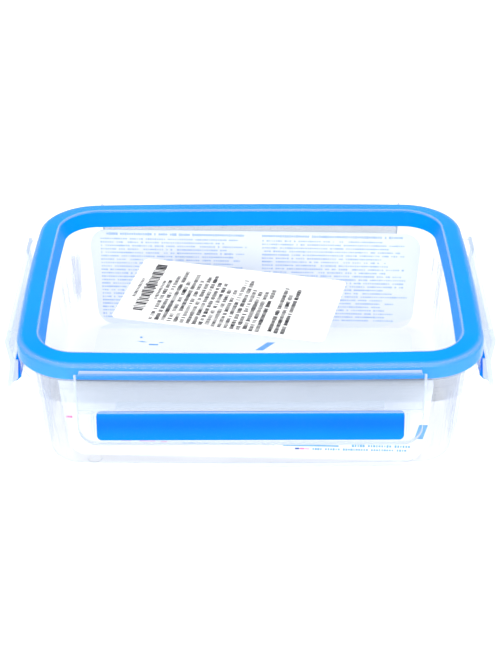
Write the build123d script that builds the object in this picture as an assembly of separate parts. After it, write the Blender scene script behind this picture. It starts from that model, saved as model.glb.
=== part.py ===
from build123d import *
import math
import os

# A clear food container whose lid snaps on with four hinged flaps.
# Millimetres. +X runs along the length, +Y towards the rear and +Z up.
# The origin is the centre of the resting face, under the four feet.

# Rim of the lid, seen from above: four slightly bowed sides and round corners
rim_length = 212.0  # across the outer edge of the rim's top, along X
rim_width = 154.0  # the same along Y
rim_corner = 26.0
side_bow = 2.2  # how far each side swells past its ends

# Heights above the resting face
rim_height = 66.4  # outer edge of the rim's top
crest_rise = 1.1  # the rim's top climbs this much to its inner crest
skirt_depth = 8.4  # from rim_height down to the skirt's lower edge
panel_depth = 8.0  # from rim_height down to the sunken panel's top

# Rim section, measured outwards from the rim outline
skirt_out = 2.3
crest_in = 7.8
panel_in = 10.8  # foot of the rim's inner wall
rim_round = 2.2
crest_round = 0.8
panel_round = 1.2
lid_wall = 1.2
panel_wall = 1.2

# Seal in the rim's channel
seal_gap = 0.05
seal_wall = 1.6
seal_lift = 0.6  # the seal ends this much above the skirt and the panel

# Tub
tub_wall = 1.8
tub_floor = 1.8
wall_in = 4.0  # outer face of the wall at its top edge, inside the rim outline
wall_draft = 4.0  # degrees
edge_clearance = 0.5  # top edge of the wall to the seal
base_round = 5.0
foot_height = 1.0
foot_radius = 3.6
foot_round = 0.6
foot_inset_x = 32.0  # foot centre to the rim outline
foot_inset_y = 20.0

# Collar round the tub, just under the lid's skirt
collar_gap = 0.5  # skirt to collar
collar_out = 1.6
collar_height = 11.6
collar_wall = 1.6
collar_round = 0.6
groove_depth = 0.7
groove_height = 3.4
groove_drop = 4.2  # collar's top to the groove

# Flaps, measured outwards from the skirt and down from the hinge
hinge_drop = 3.2  # rim_height to the hinge line
flap_wall = 1.9
knuckle_gap = 0.1
web_wall = 0.7
flap_top_out = 4.2
bulge_out = 5.8
bulge_drop = 4.4
kink_out = 4.1
kink_drop = 16.6
tab_out = 7.3
flap_height = 34.4
long_flap_end = 27.5  # rim's end to the long flap's end, along X
short_flap_end = 31.5  # the same for the short flap, along Y
flap_taper = 1.0  # each end, over the flap's height
flap_corner = 9.0

# Hook on each flap, under the collar
hook_clearance = 0.3
hook_bite = 1.7
hook_tip = 0.9  # thickness at its tip
hook_root = 1.7  # thickness where it leaves the flap
hook_margin = 18.0  # flap's end to hook's end

# Blue grip bar behind each finger tab
bar_margin = 9.0  # flap's end to bar's end
bar_top_drop = 19.4
bar_bottom_drop = 33.2
bar_wall = 1.3
bar_depth = 3.9
bar_belly_drop = 29.6
bar_corner = 2.4
bar_gap = 0.05
rib_wall = 1.0
rib_depth = 2.4
rib_clearance = 1.2  # bar's end to the rib beside it

# Printed card, bent up at the front and the rear; its gaps are to the tub's inner face
card_thickness = 0.45
card_rear_foot_gap = 7.95
card_rear_head_gap = 5.71
card_front_foot_gap = 6.75
card_front_head_gap = 6.31
card_end_foot_gap = 12.95
card_end_head_gap = 12.91
card_corner_less = 17.0  # the card's corners are this much tighter than the rim's
card_headroom = 0.5  # card's top to the lid's panel
card_skew = 3.19  # the card lies slightly turned, its right end this much nearer the front

# Paper label on the panel
label_length = 102.9
label_width = 58.7
label_corner = 3.0
label_thickness = 0.2
label_x = -9.4
label_y = -7.0
label_turn = -13.4

# Places that follow from the sizes above
half_length = rim_length / 2
half_width = rim_width / 2
skirt_bottom = rim_height - skirt_depth
panel_top = rim_height - panel_depth
panel_under = panel_top - panel_wall
crest_height = rim_height + crest_rise
rim_slope = crest_rise / crest_in
rim_outer_top = rim_height - rim_slope * skirt_out
collar_top = skirt_bottom - collar_gap
collar_bottom = collar_top - collar_height
floor_top = foot_height + tub_floor
hinge_height = rim_height - hinge_drop
long_flap = rim_length - 2 * long_flap_end
short_flap = rim_width - 2 * short_flap_end
slope_wall = tub_wall / math.cos(math.radians(wall_draft))


def bowed_outline():
    # the rim outline: four bowed sides and four round corners
    corner_x = half_length - side_bow
    corner_y = half_width - side_bow
    sides = [
        ThreePointArc((-corner_x, -corner_y), (0, -half_width), (corner_x, -corner_y)),
        ThreePointArc((corner_x, -corner_y), (half_length, 0), (corner_x, corner_y)),
        ThreePointArc((corner_x, corner_y), (0, half_width), (-corner_x, corner_y)),
        ThreePointArc((-corner_x, corner_y), (-half_length, 0), (-corner_x, -corner_y)),
    ]
    face = make_face(sides)
    return fillet(face.vertices(), radius=rim_corner)


rim_outline = bowed_outline()


def slab(reach, low, high):
    # a flat slab inside the rim outline grown by reach
    face = offset(rim_outline, amount=reach).face()
    return extrude(Pos(0, 0, low) * face, amount=high - low)


def section(corners):
    # a closed section; each corner is (across, height) or (across, height, radius)
    places = [(corner[0], corner[1]) for corner in corners]
    radii = [corner[2] if len(corner) > 2 else 0 for corner in corners]
    return make_face(FilletPolyline(*places, radius=radii, close=True))


def around(corners):
    # carries a section round the rim outline; across is measured outwards from it
    path = rim_outline.face().outer_wire()
    start = path @ 0
    along = path % 0
    outward = Vector(along.Y, -along.X, 0)
    if outward.dot(start) < 0:
        outward = -outward
    plane = Plane(origin=start, x_dir=outward, z_dir=outward.cross(Vector(0, 0, 1)))
    return sweep(plane * section(corners), path=path)


def beside(line, distance):
    # the same open line moved sideways, to its right as it runs
    moved = []
    for index, point in enumerate(line):
        before = line[max(index - 1, 0)]
        after = line[min(index + 1, len(line) - 1)]
        runs = [(a, b) for a, b in ((before, point), (point, after)) if a is not b]
        normals = []
        for a, b in runs:
            size = math.hypot(b[0] - a[0], b[1] - a[1])
            normals.append(((b[1] - a[1]) / size, -(b[0] - a[0]) / size))
        mean_x = sum(n[0] for n in normals) / len(normals)
        mean_z = sum(n[1] for n in normals) / len(normals)
        scale = distance / (mean_x**2 + mean_z**2)
        moved.append((point[0] + mean_x * scale, point[1] + mean_z * scale))
    return moved


def band(line, near, far):
    # the strip between two lines beside a guide line; a guide corner may carry a radius
    radii = [corner[2] if len(corner) > 2 else 0 for corner in line]
    outer = [(*p, max(r - near, 0) if r else 0) for p, r in zip(beside(line, near), radii)]
    inner = [(*p, max(r - far, 0) if r else 0) for p, r in zip(beside(line, far), radii)]
    return outer + inner[::-1]


def make_lid():
    panel_edge = -panel_in - panel_round * 2
    guide = [
        (panel_edge, panel_top),
        (-panel_in, panel_top, panel_round),
        (-crest_in, crest_height, crest_round),
        (skirt_out, rim_outer_top, rim_round),
        (skirt_out, skirt_bottom),
    ]
    rim = around(band(guide, 0, lid_wall))
    return rim + slab(panel_edge, panel_under, panel_top)


def make_seal():
    near = lid_wall + seal_gap
    slope = (panel_in - crest_in) / (crest_height - panel_top)
    inner_end = panel_top + seal_lift
    guide = [
        (-panel_in + slope * seal_lift, inner_end),
        (-crest_in, crest_height, crest_round),
        (skirt_out, rim_outer_top, rim_round),
        (skirt_out, skirt_bottom + seal_lift),
    ]
    return around(band(guide, near, near + seal_wall))


def wall_face(height):
    # outer face of the tub's wall at a height, from the rim outline
    return -wall_in - (wall_top - height) * math.tan(math.radians(wall_draft))


def inner_face(height):
    return wall_face(height) - slope_wall


def seal_underside(across):
    near = lid_wall + seal_gap + seal_wall
    return rim_height - rim_slope * across - near * math.hypot(1, rim_slope)


wall_top = seal_underside(-wall_in) - edge_clearance


def make_tub():
    floor_in = -wall_face(foot_height) + base_round + tub_wall
    wall = around([
        (wall_face(wall_top), wall_top, collar_round),
        (inner_face(wall_top), wall_top, collar_round),
        (inner_face(floor_top), floor_top, base_round - tub_wall),
        (-floor_in, floor_top),
        (-floor_in, foot_height),
        (wall_face(foot_height), foot_height, base_round),
    ])
    floor = slab(-floor_in, foot_height, floor_top)
    groove_top = collar_top - groove_drop
    flange_under = collar_top - collar_wall
    collar = around([
        (wall_face(collar_top) - tub_wall / 2, collar_top),
        (collar_out, collar_top, collar_round),
        (collar_out, groove_top),
        (collar_out - groove_depth, groove_top - groove_depth / 2),
        (collar_out - groove_depth, groove_top - groove_height + groove_depth / 2),
        (collar_out, groove_top - groove_height),
        (collar_out, collar_bottom),
        (collar_out - collar_wall, collar_bottom),
        (collar_out - collar_wall, flange_under, collar_round),
        (wall_face(flange_under) - tub_wall / 2, flange_under),
    ])
    foot = Cylinder(foot_radius, foot_height * 2, align=(Align.CENTER, Align.CENTER, Align.MIN))
    foot = fillet(foot.edges().group_by(Axis.Z)[0], radius=foot_round)
    foot_x = half_length - foot_inset_x
    foot_y = half_width - foot_inset_y
    feet = [Pos(x, y, 0) * foot for x in (-foot_x, foot_x) for y in (-foot_y, foot_y)]
    return wall + floor + collar + feet


# Each flap is drawn at the front, hanging in the plane of Y and Z, then turned to its side.
# Across is measured outwards from the skirt.
hinge_out = flap_top_out - flap_wall / 2
knuckle_round = flap_wall / 2 - 0.01
tab_line = [
    (flap_top_out, hinge_height + flap_wall / 2),
    (flap_top_out, hinge_height - flap_wall / 2, 2.0),
    (bulge_out, hinge_height - bulge_drop, 4.0),
    (kink_out, hinge_height - kink_drop, 5.0),
    (tab_out, hinge_height - flap_height),
]


def tab_inner(drop):
    # inner face of the finger tab at a depth below the hinge
    kink, end = beside(tab_line, flap_wall)[-2:]
    share = (hinge_height - drop - kink[1]) / (end[1] - kink[1])
    return kink[0] + share * (end[0] - kink[0])


def front_prism(corners, skirt_y, width):
    # a section in the plane of Y and Z, drawn out along X by width
    face = section([(-skirt_y - corner[0], *corner[1:]) for corner in corners])
    upright = Plane(origin=(0, 0, 0), x_dir=(0, 1, 0), z_dir=(1, 0, 0))
    return extrude(upright * face, amount=width / 2, both=True)


def tapered_gate(top, bottom, low, high, corner, depth, head=0):
    # a deep block whose outline in X and Z is a trapezoid with round lower corners
    places = [(-top / 2, high), (top / 2, high), (bottom / 2, low), (-bottom / 2, low)]
    line = FilletPolyline(*places, radius=[head, head, corner, corner], close=True)
    upright = Plane(origin=(0, 0, 0), x_dir=(1, 0, 0), z_dir=(0, -1, 0))
    return extrude(upright * make_face(line), amount=depth, both=True)


def drum(half_run, skirt_y, reach, low, high):
    # a bowed side carried on as a large upright drum, grown by reach past the rim outline
    half_chord = half_run - side_bow
    radius = (half_chord**2 + side_bow**2) / (2 * side_bow)
    solid = Cylinder(radius + reach, high - low, align=(Align.CENTER, Align.CENTER, Align.MIN))
    return Pos(0, radius + skirt_out - skirt_y, low) * solid


def make_flap(width, skirt_y, half_run):
    # skirt_y is the skirt's outer face from the origin, half_run half the rim's length there
    depth = skirt_y + tab_out * 2
    low = hinge_height - flap_height
    high = hinge_height + flap_wall
    corners = band(tab_line, 0, flap_wall)
    for end in (0, -1):
        corners[end] = (*corners[end][:2], knuckle_round)
    sheet = front_prism(corners, skirt_y, width)
    sheet &= tapered_gate(width, width - 2 * flap_taper, low, high, flap_corner, depth)
    ribs = []
    for side in (-1, 1):
        rib = front_prism(
            [
                (tab_inner(bar_top_drop) + flap_wall / 2, hinge_height - bar_top_drop),
                (tab_inner(bar_top_drop) - bar_wall, hinge_height - bar_top_drop),
                (tab_inner(bar_belly_drop) - rib_depth, hinge_height - bar_belly_drop),
                (tab_inner(bar_bottom_drop) + flap_wall / 2, hinge_height - bar_bottom_drop),
            ],
            skirt_y,
            rib_wall,
        )
        place = width / 2 - bar_margin + rib_clearance + rib_wall / 2
        ribs.append(Pos(side * place, 0, 0) * rib)
    return sheet + ribs + make_hook(width, skirt_y, half_run)


def make_hook(width, skirt_y, half_run):
    top = collar_bottom - hook_clearance
    drop = hinge_height - top
    tip = collar_out - skirt_out - hook_bite
    root = kink_out - flap_wall / 2
    hook = front_prism(
        [
            (root, top),
            (tip - side_bow, top),
            (tip - side_bow, top - hook_tip),
            (tip, top - hook_tip),
            (tab_inner(drop + hook_root) + flap_wall / 2, top - hook_root),
        ],
        skirt_y,
        width - 2 * hook_margin,
    )
    # the hook's tip follows the collar, so it bites the same all along
    reach = collar_out - hook_bite
    return hook - drum(half_run, skirt_y, reach, top - hook_root - 1, top + 1)


def make_web(width, skirt_y, half_run):
    # the thin living hinge between the skirt and a flap's knuckle
    reach = hinge_out - flap_wall / 2 - knuckle_gap
    low = hinge_height - web_wall / 2
    strip = Pos(0, -skirt_y - reach + skirt_y / 2, low) * Box(
        width - 4 * flap_taper, skirt_y, web_wall, align=(Align.CENTER, Align.CENTER, Align.MIN)
    )
    return strip - drum(half_run, skirt_y, skirt_out, low - 1, low + web_wall + 1)


def make_bar(width, skirt_y):
    # thin at its top, a belly for the fingertip lower down
    def place(drop, depth):
        return (tab_inner(drop) - depth, hinge_height - drop)

    section_corners = [
        place(bar_top_drop, bar_gap),
        (*place(bar_top_drop, bar_wall), bar_wall / 2),
        (*place((bar_top_drop + bar_belly_drop) / 2, bar_wall * 1.3), 6.0),
        (*place(bar_belly_drop, bar_depth), 0.8),
        (*place(bar_bottom_drop, bar_wall), 0.5),
        place(bar_bottom_drop, bar_gap),
    ]
    length = width - 2 * bar_margin
    bar = front_prism(section_corners, skirt_y, length)
    low = hinge_height - bar_bottom_drop
    high = hinge_height - bar_top_drop
    return bar & tapered_gate(length, length, low, high, bar_corner, skirt_y * 2, bar_corner)


def make_card():
    head = panel_under - card_headroom
    foot = floor_top
    foot_in = inner_face(foot)
    head_in = inner_face(head)
    rear_foot = half_width + foot_in - card_rear_foot_gap
    rear_head = half_width + head_in - card_rear_head_gap
    front_foot = half_width + foot_in - card_front_foot_gap
    front_head = half_width + head_in - card_front_head_gap
    bottom_width = 2 * (half_length + foot_in - card_end_foot_gap)
    top_width = 2 * (half_length + head_in - card_end_head_gap)
    corner = rim_corner - card_corner_less
    turn = math.degrees(math.asin(card_skew / (bottom_width / 2)))
    card = None
    for direction, foot_y, head_y in ((1, rear_foot, rear_head), (-1, front_foot, front_head)):
        lean = math.hypot(1, (head_y - foot_y) / (head - foot))
        thick = card_thickness * lean
        leaf = section([
            (direction * foot_y, foot),
            (direction * head_y, head),
            (direction * (head_y - thick), head),
            (direction * (foot_y - thick), foot),
        ])
        upright = Plane(origin=(0, 0, 0), x_dir=(0, 1, 0), z_dir=(1, 0, 0))
        leaf = extrude(upright * leaf, amount=top_width / 2, both=True)
        leaf &= tapered_gate(top_width, bottom_width, foot, head, corner, half_width, corner)
        card = leaf if card is None else card + leaf
    middle = (rear_foot - front_foot) / 2
    sole = RectangleRounded(bottom_width, rear_foot + front_foot, corner)
    sole = extrude(Pos(0, middle, foot) * sole, amount=card_thickness)
    return Rot(0, 0, -turn) * (card + sole)


def make_label():
    face = RectangleRounded(label_length, label_width, label_corner)
    sheet = extrude(face, amount=label_thickness)
    return Pos(label_x, label_y, panel_top) * Rot(0, 0, label_turn) * sheet


nodes = {
    "tub": make_tub(),
    "lid": make_lid(),
    "seal_ring": make_seal(),
    "insert_card": make_card(),
    "label_sticker": make_label(),
}

# name, turn about +Z from the front, length, skirt's distance from the origin, half the rim
sides = [
    ("front", 0, long_flap, half_width + skirt_out, half_length),
    ("right", 90, short_flap, half_length + skirt_out, half_width),
    ("rear", 180, long_flap, half_width + skirt_out, half_length),
    ("left", 270, short_flap, half_length + skirt_out, half_width),
]
for side_name, turn, flap_length, skirt_place, half_rim in sides:
    facing = Rot(0, 0, turn)
    nodes["flap_" + side_name] = facing * make_flap(flap_length, skirt_place, half_rim)
    nodes["hinge_web_" + side_name] = facing * make_web(flap_length, skirt_place, half_rim)
    nodes["grip_bar_" + side_name] = facing * make_bar(flap_length, skirt_place)

os.makedirs("parts", exist_ok=True)
for node_name, shape in nodes.items():
    export_step(shape, "parts/" + node_name + ".step")
print("hinge line:", skirt_out + hinge_out, "mm outside the rim outline, height", hinge_height)
print("tub's top edge:", round(wall_top, 2), "collar:", collar_bottom, "to", collar_top)
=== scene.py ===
import math
import bpy
import bmesh
from mathutils import Matrix, Vector


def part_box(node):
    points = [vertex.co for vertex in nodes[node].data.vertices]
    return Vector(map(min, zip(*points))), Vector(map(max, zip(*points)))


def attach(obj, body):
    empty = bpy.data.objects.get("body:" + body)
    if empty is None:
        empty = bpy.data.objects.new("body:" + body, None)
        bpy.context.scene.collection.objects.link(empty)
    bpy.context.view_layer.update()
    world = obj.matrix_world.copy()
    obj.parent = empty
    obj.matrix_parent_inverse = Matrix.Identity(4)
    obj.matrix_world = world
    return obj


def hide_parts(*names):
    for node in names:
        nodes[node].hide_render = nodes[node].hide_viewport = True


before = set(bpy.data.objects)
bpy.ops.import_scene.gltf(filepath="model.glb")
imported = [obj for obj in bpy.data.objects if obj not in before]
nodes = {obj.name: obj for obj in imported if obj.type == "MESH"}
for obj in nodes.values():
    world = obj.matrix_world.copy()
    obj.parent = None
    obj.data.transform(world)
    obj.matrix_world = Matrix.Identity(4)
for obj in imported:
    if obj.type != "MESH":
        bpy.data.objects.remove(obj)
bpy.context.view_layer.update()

print("frame loaded,", len(nodes), "moulded and printed pieces")


class Wire:
    # an output socket; sums written with it add Math nodes
    def __init__(self, graph, socket):
        self.graph = graph
        self.socket = socket

    def maths(self, operation, first, second=0.0):
        return self.graph.node("ShaderNodeMath", {"operation": operation}, {0: first, 1: second})

    def __add__(self, other):
        return self.maths("ADD", self, other)

    def __radd__(self, other):
        return self.maths("ADD", other, self)

    def __sub__(self, other):
        return self.maths("SUBTRACT", self, other)

    def __rsub__(self, other):
        return self.maths("SUBTRACT", other, self)

    def __mul__(self, other):
        return self.maths("MULTIPLY", self, other)

    def __rmul__(self, other):
        return self.maths("MULTIPLY", other, self)

    def __truediv__(self, other):
        return self.maths("DIVIDE", self, other)

    def __pow__(self, other):
        return self.maths("POWER", self, other)

    def __abs__(self):
        return self.maths("ABSOLUTE", self)

    def above(self, edge):
        return self.maths("GREATER_THAN", self, edge)

    def below(self, edge):
        return self.maths("LESS_THAN", self, edge)

    def within(self, low, high):
        return self.graph.node("ShaderNodeClamp", {}, {"Value": self, "Min": low, "Max": high})

    def spread(self, low, high):
        # 0 at low, 1 at high, held at both ends
        return ((self - low) / (high - low)).within(0.0, 1.0)


class Graph:
    def __init__(self, tree):
        self.tree = tree
        tree.nodes.clear()

    def node(self, kind, settings=None, sockets=None, out=0):
        # settings are set first, then the sockets get their values or links
        made = self.tree.nodes.new(kind)
        for name, value in (settings or {}).items():
            setattr(made, name, value)
        for key, value in (sockets or {}).items():
            if isinstance(value, Wire):
                self.tree.links.new(value.socket, made.inputs[key])
            else:
                made.inputs[key].default_value = value
        return Wire(self, made.outputs[out]) if made.outputs else None


class Finish(Graph):
    def __init__(self, name):
        self.material = bpy.data.materials.new(name)
        self.material.use_nodes = True
        super().__init__(self.material.node_tree)
        self.place = self.node("ShaderNodeTexCoord", out="Object")
        self.normal = self.node("ShaderNodeTexCoord", out="Normal")

    def rimReach(self, length=0.212, width=0.154, corner=0.026, bow=0.0016):
        # how far a place is outside the rim's bowed outline, negative inside it
        x = self.part(self.place, "X")
        y = self.part(self.place, "Y")
        pastX = abs(x) + bow / (width / 2) ** 2 * (y * y) - (length / 2 - corner)
        pastY = abs(y) + bow / (length / 2) ** 2 * (x * x) - (width / 2 - corner)
        return self.roundPast(pastX, pastY, corner)

    def roundPast(self, first, second, corner):
        # how far past a round corner a place is, from how far it is past the corner's centre
        first = first.maths("MAXIMUM", first, 0.0)
        second = second.maths("MAXIMUM", second, 0.0)
        return (first * first + second * second) ** 0.5 - corner

    def part(self, vector, axis):
        return self.node("ShaderNodeSeparateXYZ", {}, {0: vector}, out=axis)

    def noise(self, stretch, detail=2.0, roughness=0.5):
        # stretch is how many features fit in a metre along X, Y and Z
        moved = self.node("ShaderNodeMapping", {}, {"Vector": self.place, "Scale": stretch})
        sockets = {"Vector": moved, "Scale": 1.0, "Detail": detail, "Roughness": roughness}
        return self.node("ShaderNodeTexNoise", {}, sockets, out=0)

    def blend(self, factor, first, second):
        sockets = {"Factor": factor, 6: first, 7: second}
        return self.node("ShaderNodeMix", {"data_type": "RGBA"}, sockets, out=2)

    def bump(self, height, strength, distance):
        sockets = {"Height": height, "Strength": strength, "Distance": distance}
        return self.node("ShaderNodeBump", {}, sockets)

    def shade(self, **sockets):
        named = {key.replace("_", " "): value for key, value in sockets.items()}
        return self.node("ShaderNodeBsdfPrincipled", {}, named)

    def done(self, shader):
        self.node("ShaderNodeOutputMaterial", {}, {"Surface": shader})
        return self.material


def linked(name, data):
    # a new object at the origin that holds a mesh, a lamp or a camera
    holder = bpy.data.objects.new(name, data)
    bpy.context.scene.collection.objects.link(holder)
    return holder


def madeMesh(holder, tree, values):
    # what a tree makes of an object, as a plain mesh; the object is then removed
    modifier = holder.modifiers.new("maker", "NODES")
    modifier.node_group = tree
    for item in tree.interface.items_tree:
        if item.in_out == "INPUT" and item.name in values:
            modifier[item.identifier] = values[item.name]
    bpy.context.view_layer.update()
    graph = bpy.context.evaluated_depsgraph_get()
    mesh = bpy.data.meshes.new_from_object(holder.evaluated_get(graph), depsgraph=graph)
    holder.modifiers.clear()
    bpy.data.objects.remove(holder)
    return mesh


def startedTree(name, inputs):
    # an empty tree with named inputs; gives its graph and the inputs' wires
    tree = bpy.data.node_groups.new(name, "GeometryNodeTree")
    graph = Graph(tree)
    tree.interface.new_socket("Geometry", in_out="OUTPUT", socket_type="NodeSocketGeometry")
    for label, kind in inputs:
        tree.interface.new_socket(label, in_out="INPUT", socket_type="NodeSocket" + kind)
    given = tree.nodes.new("NodeGroupInput")
    return graph, {socket.name: Wire(graph, socket) for socket in given.outputs if socket.name}


# what all the clear plastic has in common; places and widths in metres
plasticLook = {
    "lineDetail": (3.0, 0.65),
    "hairlineDetail": (4.0, 0.70),
    "hairlineCut": (0.60, 0.72),
    "cloud": (38, 38, 38),
    "fadeBelow": 0.0008,
    "fadeAbove": 0.0006,
    "outline": (-0.0011, -0.0005),  # from a flap's outline, where its light starts and is full
    "stepWidth": 0.0005,
    "endFacing": (0.6, 0.9),
    "streakX": (0.078, 0.090),
    "streakY": (0.036, 0.050),
    "streakFoot": (0.010, 0.022),
    "streakHead": (0.042, 0.046),
    "streakCut": (0.50, 0.62),
    "reliefDepth": 0.0002,
}


def paintedRimHighlights(finish, look, height):
    # painted highlights: a light line along the rim's crest and a light band along its outer round,
    # where the rounded edges catch light
    reach = finish.rimReach()
    crest = (1.0 - abs(reach + look["crestIn"]) / look["crestWidth"]).within(0.0, 1.0)
    band = (1.0 - abs(reach - look["roundOut"]) / look["roundWidth"]).within(0.0, 1.0)
    crest = look["crestHighlight"] * crest * height.above(look["crestFoot"])
    return crest + look["roundHighlight"] * band * height.above(look["roundFoot"])


def paintedFlapHighlights(finish, look, height):
    # painted highlights: light caught by a flap's outline, by the step above the grip, by its ends and
    # its ribs
    x = abs(finish.part(finish.place, "X"))
    y = abs(finish.part(finish.place, "Y"))
    isLong = y.above(look["longPlace"])
    fromMiddle = isLong * x + (1.0 - isLong) * y
    half = isLong * (look["longHalf"] - look["shortHalf"]) + look["shortHalf"]
    corner = look["corner"]
    past = finish.roundPast(fromMiddle - half + corner, look["foot"] + corner - height, corner)
    step = 1.0 - abs(height - look["stepHeight"]) / plasticLook["stepWidth"]
    endX = abs(finish.part(finish.normal, "X"))
    endY = abs(finish.part(finish.normal, "Y"))
    end = (isLong * endX + (1.0 - isLong) * endY).spread(*plasticLook["endFacing"])
    lines = look["outlineHighlight"] * past.spread(*plasticLook["outline"])
    lines = lines + look["stepHighlight"] * step.within(0.0, 1.0)
    return lines + look["endHighlight"] * end


def paintedCornerStreaks(finish, look, height):
    # painted reflection: tall tapering streaks at the round corners, where the curved corner walls bend
    # and reflect light
    corner = abs(finish.part(finish.place, "X")).spread(*plasticLook["streakX"])
    corner = corner * abs(finish.part(finish.place, "Y")).spread(*plasticLook["streakY"])
    tall = height.spread(*plasticLook["streakFoot"])
    tall = tall * (1.0 - height.spread(*plasticLook["streakHead"]))
    streak = finish.noise(look["streaks"], 2.0, 0.5).spread(*plasticLook["streakCut"])
    return look["streakReflection"] * streak * corner * tall


# clear plastic: nearly invisible face on, hazy in its outer zone and at its edges, with painted
# highlights, painted reflection streaks and a painted glow in its haze
def clearPlastic(name, look):
    finish = Finish(name)
    facing = finish.node("ShaderNodeLayerWeight", {}, {"Blend": 0.5}, out="Facing")
    upness = abs(finish.part(finish.normal, "Z"))
    height = finish.part(finish.place, "Z")
    zone = finish.rimReach().spread(*look["zone"])
    lines = finish.noise(look["lines"], *plasticLook["lineDetail"])
    hairlines = finish.noise(look["hairlines"], *plasticLook["hairlineDetail"])
    hairlines = hairlines.spread(*plasticLook["hairlineCut"])
    cloud = finish.noise(plasticLook["cloud"], 2.0, 0.5)
    frosted = height.spread(look["clearBelow"] - plasticLook["fadeBelow"], look["clearBelow"])
    faded = height.spread(look["clearAbove"], look["clearAbove"] + plasticLook["fadeAbove"])
    frosted = frosted * (1.0 - faded)
    veil = look["lowHaze"] + (look["sideHaze"] - look["lowHaze"]) * frosted
    side = veil * (0.7 + 0.6 * lines)
    flat = look["flatHaze"] * (0.6 + 0.8 * cloud)
    level = upness * look["levelShare"]
    level = level.maths("MAXIMUM", level, 1.0 - zone)
    haze = side + (flat - side) * level
    haze = haze + look["scratchHaze"] * hairlines * (1.0 - level)
    # painted highlights on the rim and flaps, painted reflection streaks at the tub's corners
    for key, more in (("crestHighlight", paintedRimHighlights), ("outlineHighlight", paintedFlapHighlights), ("streaks", paintedCornerStreaks)):
        if key in look:
            haze = haze + more(finish, look, height)
    edge = look["edgeHaze"] * facing ** look["edgePower"] * (0.6 + 0.4 * zone)
    through = finish.node("ShaderNodeBsdfTransparent", {}, {"Color": look["tint"]})
    skin = finish.shade(
        Base_Color=look["colour"],
        Roughness=(look["roughness"] + 0.25 * hairlines).within(0.03, 0.9),
        IOR=1.49,
        # the emission is a painted glow that lightens the hazy skin
        Emission_Color=look["glow"],
        Emission_Strength=look["paintedGlowStrength"],
        Normal=finish.bump(lines + 0.5 * hairlines, look["relief"], plasticLook["reliefDepth"]),
    )
    sockets = {0: (haze + edge).within(0.0, 1.0), 1: through, 2: skin}
    return finish.done(finish.node("ShaderNodeMixShader", {}, sockets))


tubLook = {
    "tint": (0.992, 0.996, 1.0, 1.0),
    "colour": (0.42, 0.48, 0.63, 1.0),
    "roughness": 0.22,
    "glow": (0.82, 0.89, 1.0, 1.0),  # painted glow: emission colour that lightens the haze as if lit from all round
    "paintedGlowStrength": 0.14,
    "zone": (-1.0, -0.9),  # from the rim's outline, where haze starts and where it is full
    "levelShare": 1.0,  # how much level faces take the flat haze
    "sideHaze": 0.045,  # between the two clear heights
    "lowHaze": 0.025,
    "clearBelow": 0.0462,
    "clearAbove": 0.0700,
    "flatHaze": 0.010,
    "scratchHaze": 0.06,
    "edgeHaze": 0.38,
    "edgePower": 3.0,
    "relief": 0.08,
    "lines": (420, 420, 14),  # features in a metre along X, Y and Z
    "hairlines": (900, 900, 30),
    # painted reflection streaks at the tub's round corners
    "streaks": (210, 210, 9),
    "streakReflection": 0.45,
}
lidLook = {
    "tint": (0.996, 0.998, 1.0, 1.0),
    "colour": (0.48, 0.66, 0.90, 1.0),
    "roughness": 0.12,
    "glow": (0.58, 0.78, 1.0, 1.0),
    "paintedGlowStrength": 0.10,
    "zone": (-0.0010, 0.0002),
    "levelShare": 0.0,
    "sideHaze": 0.12,
    "lowHaze": 0.12,
    "clearBelow": 0.0,
    "clearAbove": 0.0700,
    "flatHaze": 0.002,
    "scratchHaze": 0.02,
    # painted highlights along the rim's crest and its outer round
    "crestIn": 0.0078,  # from the rim's outline in to its crest
    "crestWidth": 0.0008,
    "crestFoot": 0.0664,
    "crestHighlight": 0.50,
    "roundOut": 0.0012,
    "roundWidth": 0.0011,
    "roundFoot": 0.0648,
    "roundHighlight": 0.22,
    "edgeHaze": 0.95,
    "edgePower": 6.0,
    "relief": 0.03,
    "lines": (240, 240, 120),
    "hairlines": (40, 900, 600),
}
flapLook = {
    "tint": (0.992, 0.997, 1.0, 1.0),
    "colour": (0.36, 0.39, 0.46, 1.0),
    "roughness": 0.22,
    "glow": (0.74, 0.87, 1.0, 1.0),
    "paintedGlowStrength": 0.44,
    "zone": (-1.0, -0.9),
    "levelShare": 1.0,
    "sideHaze": 0.36,
    "lowHaze": 0.0,
    "clearBelow": 0.0447,
    "clearAbove": 0.0606,
    "longPlace": 0.0795,  # the long flaps lie past this along Y
    "longHalf": 0.0783,
    "shortHalf": 0.0453,
    "corner": 0.0090,
    "foot": 0.0288,
    # painted highlights along the flap's outline, step and ends
    "outlineHighlight": 0.55,
    "stepHeight": 0.0446,
    "stepHighlight": 0.30,
    "endHighlight": 0.70,
    "flatHaze": 0.02,
    "scratchHaze": 0.0,
    "edgeHaze": 0.55,
    "edgePower": 3.0,
    "relief": 0.03,
    "lines": (60, 60, 160),
    "hairlines": (60, 60, 1100),
}
webLook = dict(flapLook, sideHaze=0.05, flatHaze=0.05)
clearTub = clearPlastic("clearTub", tubLook)
clearLid = clearPlastic("clearLid", lidLook)
clearFlap = clearPlastic("clearFlap", flapLook)
clearWeb = clearPlastic("clearWeb", webLook)


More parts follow.
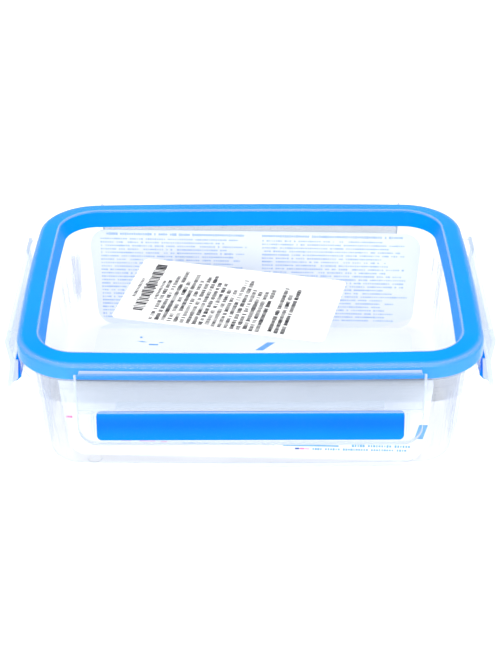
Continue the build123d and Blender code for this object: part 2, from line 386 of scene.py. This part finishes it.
# soft blue rubber of the seal and the grips: even colour, a faint cloud and a fine skin texture
def softBlue(name, look):
    finish = Finish(name)
    cloud = finish.noise((26, 26, 26), 2.0, 0.5)
    grain = finish.noise((1500, 1500, 1500), 2.0, 0.6)
    shade = cloud.spread(0.3, 0.7)
    if "thick" in look:
        # darkest at one height, lighter towards the grip's foot and towards its head
        height = finish.part(finish.place, "Z")
        low = 1.0 - height.spread(look["foot"], look["thick"])
        high = height.spread(look["thick"], look["head"]) ** 2.0
        shade = (0.15 * shade + 0.85 * low + high).within(0.0, 1.0)
    colour = finish.blend(shade, look["deep"], look["bright"])
    rough = (look["roughness"] + 0.12 * (grain - 0.5)).within(0.1, 0.9)
    skin = finish.shade(
        Base_Color=colour,
        Roughness=rough,
        Specular_IOR_Level=look["shine"],
        Normal=finish.bump(grain, look["relief"], 0.00015),
    )
    return finish.done(skin)


sealLook = {
    "deep": (0.000, 0.310, 0.97, 1.0),
    "bright": (0.000, 0.345, 0.99, 1.0),
    "roughness": 0.50,
    "shine": 0.03,
    "relief": 0.12,
}
gripLook = {
    "deep": (0.000, 0.160, 0.95, 1.0),
    "bright": (0.000, 0.290, 0.98, 1.0),
    "foot": 0.0300,
    "thick": 0.0375,
    "head": 0.0440,
    "roughness": 0.50,
    "shine": 0.04,
    "relief": 0.18,
}
sealBlue = softBlue("sealBlue", sealLook)
gripBlue = softBlue("gripBlue", gripLook)


# coated white card: both leaves pale blue, which is painted shade on the upright leaves, and a pale
# grey field on the sole
cardLook = {
    # rear and front: pale blue painted shade on the upright white leaves
    "rear": (0.90, 0.94, 1.0, 1.0),
    "front": (0.90, 0.94, 1.0, 1.0),
    "sole": (0.94, 0.95, 0.98, 1.0),
    "bare": (0.97, 0.97, 0.98, 1.0),
    "glow": (0.95, 0.97, 1.0, 1.0),  # painted glow: emission colour that lightens the thin white card
    # strength of the painted glow on the card
    "through": 0.10,
    "cover": 0.94,
    "soleEdge": 0.0500,
    "rearEdge": 0.0560,
    "frontEdge": -0.0580,
}


def coatedCard(look):
    finish = Finish("coatedCard")
    across = finish.part(finish.place, "Y")
    fibre = finish.noise((420, 420, 420), 3.0, 0.6)
    colour = finish.blend(across.above(look["soleEdge"]), look["sole"], look["bare"])
    colour = finish.blend(across.above(look["rearEdge"]), colour, look["rear"])
    colour = finish.blend(across.below(look["frontEdge"]), colour, look["front"])
    mottled = finish.blend(fibre.spread(0.35, 0.65) * 0.05, colour, (0.70, 0.72, 0.76, 1.0))
    skin = finish.shade(
        Base_Color=mottled,
        Roughness=(0.42 + 0.10 * fibre).within(0.1, 0.9),
        Specular_IOR_Level=0.3,
        Alpha=look["cover"],
        # the emission is a painted glow that lightens the card
        Emission_Color=look["glow"],
        Emission_Strength=look["through"],
        Normal=finish.bump(fibre, 0.10, 0.0002),
    )
    return finish.done(skin)


# label: uncoated white paper with a few grey fibres
labelLook = {
    "paper": (0.97, 0.97, 0.97, 1.0),
    "fibre": (0.86, 0.86, 0.87, 1.0),
    "roughness": 0.62,
}


def labelPaper(look):
    finish = Finish("labelPaper")
    fibre = finish.noise((700, 260, 700), 4.0, 0.65)
    colour = finish.blend(fibre.spread(0.35, 0.7) * 0.06, look["paper"], look["fibre"])
    skin = finish.shade(
        Base_Color=colour,
        Roughness=(look["roughness"] + 0.1 * fibre).within(0.1, 0.95),
        Specular_IOR_Level=0.2,
        Normal=finish.bump(fibre, 0.12, 0.0001),
    )
    return finish.done(skin)


def ink(name, colour, faded):
    # printed marks, a little uneven in strength
    finish = Finish(name)
    wear = finish.noise((330, 330, 330), 2.0, 0.6)
    tone = finish.blend(wear.spread(0.35, 0.75), colour, faded)
    return finish.done(finish.shade(Base_Color=tone, Roughness=0.6, Specular_IOR_Level=0.2))


cardFinish = coatedCard(cardLook)
labelFinish = labelPaper(labelLook)
# each ink's full and faded colour
inkTones = {
    "black": ((0.004, 0.004, 0.006, 1.0), (0.03, 0.03, 0.05, 1.0)),
    "blue": ((0.44, 0.60, 0.93, 1.0), (0.62, 0.75, 0.97, 1.0)),
    "sky": ((0.16, 0.42, 0.92, 1.0), (0.22, 0.50, 0.95, 1.0)),
    "pink": ((0.86, 0.22, 0.46, 1.0), (0.90, 0.34, 0.55, 1.0)),
    "rose": ((0.88, 0.52, 0.68, 1.0), (0.92, 0.60, 0.74, 1.0)),
    "deep": ((0.05, 0.10, 0.42, 1.0), (0.08, 0.14, 0.48, 1.0)),
}
inks = {name: ink(name + "Ink", *tones) for name, tones in inkTones.items()}
print("finishes made:", len(bpy.data.materials))


# the seal: its section carried round the bowed rim, filled out to just under the clear rim's skin
sealShape = {
    "rimLength": 0.2120, "rimWidth": 0.1540, "corner": 0.0260, "bow": 0.0022,
    "skin": 0.00018,  # clear plastic left over the rubber
    "depth": 0.00285,  # from the rim's surface to the rubber's underside
    "skirtOut": 0.0023, "crestIn": 0.0078, "panelIn": 0.0108,
    "outerTop": 0.066076, "crest": 0.0675, "panel": 0.0584, "skirtFoot": 0.0586,
    "innerFoot": 0.0592,
    "outerRound": 0.0020, "crestRound": 0.0008, "innerRound": 0.0004,
    "steps": 5,  # faces round each corner of the section
    "longSteps": 20, "roundSteps": 24, "shortSteps": 16,  # a quarter of the path
    "sharpAngle": 40,
}


def rimPath(look):
    # the rim's outline: four shallow arcs joined by round corners, as a closed wire
    halfX, halfY, bow, corner = look["rimLength"] / 2, look["rimWidth"] / 2, look["bow"], look["corner"]
    longRadius = ((halfX - bow) ** 2 + bow ** 2) / (2 * bow)
    shortRadius = ((halfY - bow) ** 2 + bow ** 2) / (2 * bow)
    x, y = halfX - corner, corner - halfY
    for _ in range(30):  # settles the middle of the round corner on both arcs
        y = longRadius - halfY - math.sqrt((longRadius - corner) ** 2 - x ** 2)
        x = halfX - shortRadius + math.sqrt((shortRadius - corner) ** 2 - y ** 2)
    first = math.asin(x / (longRadius - corner))
    last = math.asin(-y / (shortRadius - corner))
    quarter = []
    for step in range(look["longSteps"]):
        turn = first * step / look["longSteps"]
        quarter.append((longRadius * math.sin(turn), longRadius * (1 - math.cos(turn)) - halfY))
    for step in range(look["roundSteps"] + 1):
        turn = first - math.pi / 2 + (math.pi / 2 - first - last) * step / look["roundSteps"]
        quarter.append((x + corner * math.cos(turn), y + corner * math.sin(turn)))
    for step in range(1, look["shortSteps"] + 1):
        turn = last * (1 - step / look["shortSteps"])
        quarter.append((halfX - shortRadius * (1 - math.cos(turn)), -shortRadius * math.sin(turn)))
    right = quarter + [(px, -py) for px, py in quarter[-2::-1]]
    loop = right + [(-px, py) for px, py in right[-2:0:-1]]
    return [(px, py, 0.0) for px, py in loop]


def wireObject(name, points, rounds=None):
    mesh = bpy.data.meshes.new(name)
    count = len(points)
    mesh.from_pydata(points, [(i, (i + 1) % count) for i in range(count)], [])
    if rounds:
        mesh.attributes.new("roundness", "FLOAT", "POINT").data.foreach_set("value", rounds)
    return linked(name, mesh)


def carriedRound():
    # a tree that rounds a section's corners and carries it along a closed path
    graph, value = startedTree("carriedRound", (
        ("Geometry", "Geometry"), ("Path", "Object"), ("Corner Steps", "Int"), ("Rubber", "Material"),
    ))
    attribute = "GeometryNodeInputNamedAttribute"
    roundness = graph.node(attribute, {"data_type": "FLOAT"}, {"Name": "roundness"})
    section = graph.node("GeometryNodeMeshToCurve", {}, {"Mesh": value["Geometry"]})
    sockets = {
        "Curve": section,
        "Radius": roundness,
        "Limit Radius": True,
        "Count": value["Corner Steps"],
    }
    section = graph.node("GeometryNodeFilletCurve", {"mode": "POLY"}, sockets)
    path = graph.node("GeometryNodeObjectInfo", {}, {"Object": value["Path"]}, out="Geometry")
    path = graph.node("GeometryNodeMeshToCurve", {}, {"Mesh": path})
    path = graph.node("GeometryNodeSetCurveNormal", {"mode": "Z_UP"}, {"Curve": path})
    ring = graph.node("GeometryNodeCurveToMesh", {}, {"Curve": path, "Profile Curve": section})
    whole = graph.node("GeometryNodeRealizeInstances", {}, {"Geometry": ring})
    clad = graph.node("GeometryNodeSetMaterial", {}, {"Geometry": whole, "Material": value["Rubber"]})
    graph.node("NodeGroupOutput", {}, {"Geometry": clad})
    return graph.tree


def moved(line, distance):
    # an open line moved to its right as it runs
    result = []
    for index, point in enumerate(line):
        ends = [(line[i], line[i + 1]) for i in (index - 1, index) if 0 <= i < len(line) - 1]
        normals = []
        for (ax, ay), (bx, by) in ends:
            size = math.hypot(bx - ax, by - ay)
            normals.append(((by - ay) / size, (ax - bx) / size))
        meanX = sum(n[0] for n in normals) / len(normals)
        meanY = sum(n[1] for n in normals) / len(normals)
        scale = distance / (meanX ** 2 + meanY ** 2)
        result.append((point[0] + meanX * scale, point[1] + meanY * scale))
    return result


def makeSeal(look):
    slope = (look["panelIn"] - look["crestIn"]) / (look["crest"] - look["panel"])
    foot = -look["panelIn"] + slope * (look["innerFoot"] - look["panel"])
    guide = [
        (foot, look["innerFoot"]),
        (-look["crestIn"], look["crest"]),
        (look["skirtOut"], look["outerTop"]),
        (look["skirtOut"], look["skirtFoot"]),
    ]
    outer = moved(guide, look["skin"])
    inner = moved(guide, look["depth"])
    corners = outer + inner[::-1]
    rounds = [look[name] for name in ("innerRound", "crestRound", "outerRound", "innerRound")]
    rounds += [look["innerRound"]] * 4
    section = wireObject("sealSection", [(across, -height, 0.0) for across, height in corners], rounds)
    path = wireObject("rimPath", rimPath(look))
    values = {"Path": path, "Corner Steps": look["steps"], "Rubber": sealBlue}
    mesh = madeMesh(section, carriedRound(), values)
    bpy.data.objects.remove(path)
    mesh.materials.clear()
    mesh.materials.append(sealBlue)
    mesh.polygons.foreach_set("material_index", [0] * len(mesh.polygons))
    mesh.shade_smooth()
    mesh.set_sharp_from_angle(angle=math.radians(look["sharpAngle"]))
    seal = linked("sealRubber", mesh)
    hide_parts("seal_ring")
    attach(seal, "lid")
    print("seal carried round the rim,", len(mesh.polygons), "faces")


makeSeal(sealShape)


# each moulded or printed piece and its finish
finishes = {
    "tub": clearTub,
    "lid": clearLid,
    "insert_card": cardFinish,
    "label_sticker": labelFinish,
}
for side in ("front", "right", "rear", "left"):
    finishes["flap_" + side] = clearFlap
    finishes["hinge_web_" + side] = clearWeb
    finishes["grip_bar_" + side] = gripBlue
for name, finish in finishes.items():
    mesh = nodes[name].data
    mesh.materials.clear()
    mesh.materials.append(finish)
print("finishes put on the moulded pieces")


# rows of small generic marks that stand for print, made by one tree
def printTree():
    graph, value = startedTree("printedRows", (
        ("Geometry", "Geometry"), ("Columns", "Int"), ("Rows", "Int"), ("Column Pitch", "Float"),
        ("Row Pitch", "Float"), ("Shortest", "Float"), ("Longest", "Float"), ("Height", "Float"),
        ("Kept", "Float"), ("Ragged", "Float"), ("Seed", "Int"), ("Ink", "Material"),
    ))

    def drawn(low, high, seed, **more):
        # a number drawn at random for each point, or for each ID
        sockets = {2: low, 3: high, "Seed": seed, **more}
        return graph.node("FunctionNodeRandomValue", {"data_type": "FLOAT"}, sockets, out=1)

    length = (value["Columns"] - 1.0) * value["Column Pitch"]
    grid = graph.node("GeometryNodeMeshGrid", {}, {
        "Size X": length, "Size Y": (value["Rows"] - 1.0) * value["Row Pitch"],
        "Vertices X": value["Columns"], "Vertices Y": value["Rows"],
    })
    place = graph.node("GeometryNodeInputPosition")
    along = graph.node("ShaderNodeSeparateXYZ", {}, {0: place}, out="X")
    across = graph.node("ShaderNodeSeparateXYZ", {}, {0: place}, out="Y")
    row = across / value["Row Pitch"] + 0.5 * value["Rows"]
    row = row.maths("ROUND", row)
    # each row stops short by its own share, and some marks are left out as gaps between words
    pastEnd = along.above(length * (0.5 - drawn(0.0, value["Ragged"], value["Seed"], ID=row)))
    gap = drawn(0.0, 1.0, value["Seed"] + 1.0).above(value["Kept"])
    kept = graph.node(
        "GeometryNodeDeleteGeometry",
        {"domain": "POINT"},
        {"Geometry": grid, "Selection": pastEnd + gap},
    )
    sides = {"Size X": 1.0, "Size Y": 1.0, "Vertices X": 2, "Vertices Y": 2}
    mark = graph.node("GeometryNodeMeshGrid", {}, sides)
    wide = drawn(value["Shortest"], value["Longest"], value["Seed"] + 2.0)
    tall = drawn(0.7, 1.0, value["Seed"] + 3.0) * value["Height"]
    size = graph.node("ShaderNodeCombineXYZ", {}, {0: wide, 1: tall, 2: 1.0})
    sockets = {"Points": kept, "Instance": mark, "Scale": size}
    marks = graph.node("GeometryNodeInstanceOnPoints", {}, sockets)
    solid = graph.node("GeometryNodeRealizeInstances", {}, {"Geometry": marks})
    inked = graph.node("GeometryNodeSetMaterial", {}, {"Geometry": solid, "Material": value["Ink"]})
    graph.node("NodeGroupOutput", {}, {"Geometry": inked})
    return graph.tree


printedRows = printTree()


def printBlock(look, seed, finish, place):
    # one block of print, laid flat about the origin and then put in its place
    holder = linked("printHolder", bpy.data.meshes.new("printHolder"))
    mesh = madeMesh(holder, printedRows, dict(look, Seed=seed, Ink=finish))
    mesh.transform(place)
    return mesh


def joinedPiece(name, meshes, body):
    # several flat meshes made into one piece that rides a body
    combined = bmesh.new()
    used = []
    for mesh in meshes:
        finish = mesh.materials[mesh.polygons[0].material_index]
        if finish not in used:
            used.append(finish)
        first = len(combined.faces)
        combined.from_mesh(mesh)
        combined.faces.ensure_lookup_table()
        for face in combined.faces[first:]:
            face.material_index = used.index(finish)
    whole = bpy.data.meshes.new(name)
    combined.to_mesh(whole)
    combined.free()
    for finish in used:
        whole.materials.append(finish)
    piece = linked(name, whole)
    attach(piece, body)


def flatShape(corners, finish, place):
    # one flat shape from its corners, with its finish
    mesh = bpy.data.meshes.new("flatShape")
    mesh.from_pydata([(x, y, 0.0) for x, y in corners], [], [tuple(range(len(corners)))])
    mesh.materials.append(finish)
    mesh.transform(place)
    return mesh


# print on the label: a code strip at its left end, then close rows that run from its front edge
labelPrint = {
    "turn": -13.4,
    "lift": 0.00003,
    "length": 0.1029,
    "width": 0.0587,
    "rows": {"Columns": 48, "Rows": 18, "Column Pitch": 0.00104, "Row Pitch": 0.00305,
             "Shortest": 0.0004, "Longest": 0.0010, "Height": 0.0021, "Kept": 0.84, "Ragged": 0.30},
    "lastRows": {"Columns": 46, "Rows": 3, "Column Pitch": 0.00100, "Row Pitch": 0.0031,
                 "Shortest": 0.0005, "Longest": 0.0010, "Height": 0.0021, "Kept": 0.90, "Ragged": 0.20},
    "code": {"Columns": 30, "Rows": 1, "Column Pitch": 0.00150, "Row Pitch": 0.001,
             "Shortest": 0.0004, "Longest": 0.0015, "Height": 0.0062, "Kept": 0.97, "Ragged": 0.0},
    "codeNote": {"Columns": 13, "Rows": 1, "Column Pitch": 0.0014, "Row Pitch": 0.001,
                 "Shortest": 0.0006, "Longest": 0.0010, "Height": 0.0017, "Kept": 1.0, "Ragged": 0.0},
}
low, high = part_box("label_sticker")
labelMiddle = Vector(((low.x + high.x) / 2, (low.y + high.y) / 2, high.z + labelPrint["lift"]))


def onLabel(fromLeft, fromFront):
    # a place on the label, with rows turned to run from its front edge to its rear edge
    turned = Matrix.Rotation(math.radians(labelPrint["turn"]), 4, "Z")
    x = fromLeft - labelPrint["length"] / 2
    y = fromFront - labelPrint["width"] / 2
    shifted = Matrix.Translation((x, y, 0.0)) @ Matrix.Rotation(math.pi / 2, 4, "Z")
    return Matrix.Translation(labelMiddle) @ turned @ shifted


joinedPiece("labelPrint", [
    printBlock(labelPrint["rows"], 3, inks["black"], onLabel(0.0444, 0.0275)),
    printBlock(labelPrint["lastRows"], 8, inks["black"], onLabel(0.0792, 0.0262)),
    printBlock(labelPrint["code"], 5, inks["black"], onLabel(0.0104, 0.0315)),
    printBlock(labelPrint["codeNote"], 6, inks["black"], onLabel(0.0158, 0.0300)),
    printBlock(labelPrint["codeNote"], 7, inks["black"], onLabel(0.0050, 0.0300)),
], "lid")
print("label printed")


# print on the card: two columns on the rear leaf, a few rows low on the front leaf
cardPrint = {
    "turn": -2.2,
    "lift": 0.00004,
    "rearFoot": 0.0590, "rearHead": 0.0650, "frontFoot": 0.0602, "frontHead": 0.0644,
    "foot": 0.0028, "head": 0.0567,
    "thickness": 0.00045,
    "column": {"Columns": 66, "Rows": 24, "Column Pitch": 0.00118, "Row Pitch": 0.00195,
               "Shortest": 0.0005, "Longest": 0.0012, "Height": 0.0009, "Kept": 0.88, "Ragged": 0.20},
    "heading": {"Columns": 62, "Rows": 1, "Column Pitch": 0.00118, "Row Pitch": 0.00195,
                "Shortest": 0.0008, "Longest": 0.0013, "Height": 0.0014, "Kept": 0.93, "Ragged": 0.0},
    "lowRow": {"Columns": 38, "Rows": 1, "Column Pitch": 0.00120, "Row Pitch": 0.0021,
               "Shortest": 0.0005, "Longest": 0.0011, "Height": 0.0013, "Kept": 0.86, "Ragged": 0.0},
    "midRow": {"Columns": 36, "Rows": 1, "Column Pitch": 0.00120, "Row Pitch": 0.0021,
               "Shortest": 0.0005, "Longest": 0.0013, "Height": 0.0009, "Kept": 0.66, "Ragged": 0.0},
    "endRow": {"Columns": 22, "Rows": 1, "Column Pitch": 0.00125, "Row Pitch": 0.0021,
               "Shortest": 0.0005, "Longest": 0.0011, "Height": 0.0016, "Kept": 0.90, "Ragged": 0.0},
}


def slanted(left, right, low, high, slant):
    # the corners of a field whose top stands to one side of its foot
    return [(left, low), (right, low), (right + slant, high), (left + slant, high)]


# small fields of colour on the front leaf: left, right, low and high in metres, slant, colour
frontFields = [
    (-0.0839, -0.0809, 0.0249, 0.0262, 0.0, "pink"),
    (0.0788, 0.0828, 0.0160, 0.0246, 0.0020, "sky"),
    (0.0175, 0.0437, 0.0104, 0.0113, 0.0, "sky"),
    (0.0232, 0.0252, 0.0084, 0.0094, 0.0, "deep"),
    (0.0254, 0.0276, 0.0084, 0.0094, 0.0, "pink"),
    (0.0278, 0.0300, 0.0084, 0.0094, 0.0, "rose"),
    (-0.0590, -0.0540, 0.0116, 0.0122, 0.0, "rose"),
    (-0.0500, -0.0425, 0.0114, 0.0120, 0.0, "rose"),
    (-0.0400, -0.0370, 0.0112, 0.0118, 0.0, "pink"),
]
# the same on the sole: left, right, near, far, slant, colour
soleFields = [
    (0.0010, 0.0050, 0.0340, 0.0420, 0.0062, "sky"),
    (-0.0600, -0.0588, 0.0440, 0.0455, 0.0, "sky"),
    (-0.0585, -0.0555, 0.0400, 0.0410, -0.0030, "sky"),
    (-0.0548, -0.0500, 0.0372, 0.0384, 0.0, "sky"),
    (-0.0500, -0.0480, 0.0395, 0.0402, 0.0010, "sky"),
]


def onLeaf(rear, along, height, outside):
    # a place on a leaf of the card; the leaf leans outwards from its foot
    foot = cardPrint["rearFoot"] if rear else cardPrint["frontFoot"]
    head = cardPrint["rearHead"] if rear else cardPrint["frontHead"]
    rise = cardPrint["head"] - cardPrint["foot"]
    lean = math.atan2(head - foot, rise)
    reach = foot + (head - foot) * (height - cardPrint["foot"]) / rise
    inside = -cardPrint["thickness"] / math.cos(lean) - cardPrint["lift"]
    reach += cardPrint["lift"] if outside else inside
    side = 1 if rear else -1
    tilt = Matrix.Rotation(math.pi / 2 - side * lean, 4, "X")
    place = Matrix.Translation((along, side * reach, height)) @ tilt
    return Matrix.Rotation(math.radians(cardPrint["turn"]), 4, "Z") @ place


# the card's sole, turned with the card
soleTop = cardPrint["foot"] + cardPrint["thickness"] + cardPrint["lift"]
onSole = Matrix.Rotation(math.radians(cardPrint["turn"]), 4, "Z") @ Matrix.Translation((0, 0, soleTop))

cardMeshes = [
    printBlock(cardPrint["column"], 21, inks["blue"], onLeaf(True, -0.0420, 0.0295, False)),
    printBlock(cardPrint["column"], 24, inks["blue"], onLeaf(True, 0.0425, 0.0295, False)),
    printBlock(cardPrint["heading"], 27, inks["blue"], onLeaf(True, -0.0410, 0.0545, False)),
    printBlock(cardPrint["heading"], 28, inks["blue"], onLeaf(True, 0.0400, 0.0545, False)),
    printBlock(cardPrint["lowRow"], 33, inks["sky"], onLeaf(False, 0.0540, 0.0088, True)),
    printBlock(cardPrint["midRow"], 35, inks["sky"], onLeaf(False, -0.0080, 0.0109, True)),
    printBlock(cardPrint["endRow"], 37, inks["sky"], onLeaf(False, 0.0635, 0.0112, True)),
]
for left, right, low, high, slant, tone in frontFields:
    middle = (low + high) / 2
    corners = slanted(left, right, low - middle, high - middle, slant)
    cardMeshes.append(flatShape(corners, inks[tone], onLeaf(False, 0.0, middle, True)))
for left, right, near, far, slant, tone in soleFields:
    cardMeshes.append(flatShape(slanted(left, right, near, far, slant), inks[tone], onSole))
joinedPiece("cardPrint", cardMeshes, "tub")
print("card printed")


# floor, lights and camera
floorLook = {
    "half": 3.0,
    "colour": (0.88, 0.88, 0.885, 1.0),
    "roughness": 0.55,
    "nearGlow": (0.58, 0.58, 0.58, 1.0),
    "farGlow": (1.0, 1.0, 1.0, 1.0),
    "glow": 0.72,
    "fade": (0.50, 1.40),  # metres from the middle between the two glows
}


def paleFloor(look):
    finish = Finish("paleFloor")
    cloud = finish.noise((3, 3, 3), 2.0, 0.5)
    colour = finish.blend(cloud * 0.1, look["colour"], (0.84, 0.84, 0.85, 1.0))
    x = finish.part(finish.place, "X")
    y = finish.part(finish.place, "Y")
    far = ((x * x + y * y) ** 0.5).spread(*look["fade"])
    shader = finish.shade(
        Base_Color=colour,
        Roughness=look["roughness"],
        Specular_IOR_Level=0.2,
        Emission_Color=finish.blend(far, look["nearGlow"], look["farGlow"]),
        Emission_Strength=look["glow"],
    )
    half = look["half"]
    corners = [(-half, -half), (half, -half), (half, half), (-half, half)]
    floor = linked("floor", flatShape(corners, finish.done(shader), Matrix.Identity(4)))


paleFloor(floorLook)

world = bpy.data.worlds.new("whiteRoom")
world.use_nodes = True
room = Graph(world.node_tree)
roomLook = {"seen": 1.0, "light": 0.34}
seen = room.node("ShaderNodeLightPath", out="Is Camera Ray")
strength = roomLook["light"] + (roomLook["seen"] - roomLook["light"]) * seen
shine = room.node("ShaderNodeBackground", {}, {"Color": (0.97, 0.985, 1.0, 1.0), "Strength": strength})
room.node("ShaderNodeOutputWorld", {}, {"Surface": shine})
bpy.context.scene.world = world

softboxes = {
    "rear": {"place": (0.0, 1.30, 0.55), "aim": (0.0, 0.0, 0.03), "size": (1.3, 0.7), "power": 5.0},
    "overhead": {"place": (0.0, 0.25, 1.30), "aim": (0.0, 0.0, 0.0), "size": (1.5, 1.2), "power": 11.0},
    "front": {"place": (0.0, -1.30, 0.52), "aim": (0.0, 0.0, 0.03), "size": (1.3, 0.7), "power": 12.0},
    "left": {"place": (-1.25, 0.10, 0.60), "aim": (0.0, 0.0, 0.05), "size": (0.8, 0.8), "power": 4.2},
    "right": {"place": (1.25, 0.10, 0.60), "aim": (0.0, 0.0, 0.05), "size": (0.8, 0.8), "power": 4.2},
}
for name, look in softboxes.items():
    data = bpy.data.lights.new(name, "AREA")
    data.shape = "RECTANGLE"
    data.size, data.size_y = look["size"]
    data.energy = look["power"]
    lamp = linked(name, data)
    lamp.location = look["place"]
    towards = Vector(look["aim"]) - Vector(look["place"])
    lamp.rotation_euler = towards.to_track_quat("-Z", "Y").to_euler()

viewLook = {
    "place": (0.00140, -0.71206, 0.47522),
    "pitch": 31.786,
    "turn": 0.092,
    "roll": 0.215,
    "lens": 91.24,
}
data = bpy.data.cameras.new("viewer")
data.lens = viewLook["lens"]
data.clip_start = 0.02
viewer = linked("viewer", data)
viewer.matrix_world = (
    Matrix.Translation(viewLook["place"])
    @ Matrix.Rotation(math.radians(viewLook["turn"]), 4, "Z")
    @ Matrix.Rotation(math.radians(90 - viewLook["pitch"]), 4, "X")
    @ Matrix.Rotation(math.radians(-viewLook["roll"]), 4, "Z")
)
bpy.context.scene.camera = viewer
bpy.context.scene.view_settings.view_transform = "Standard"
print("floor, lights and camera set")
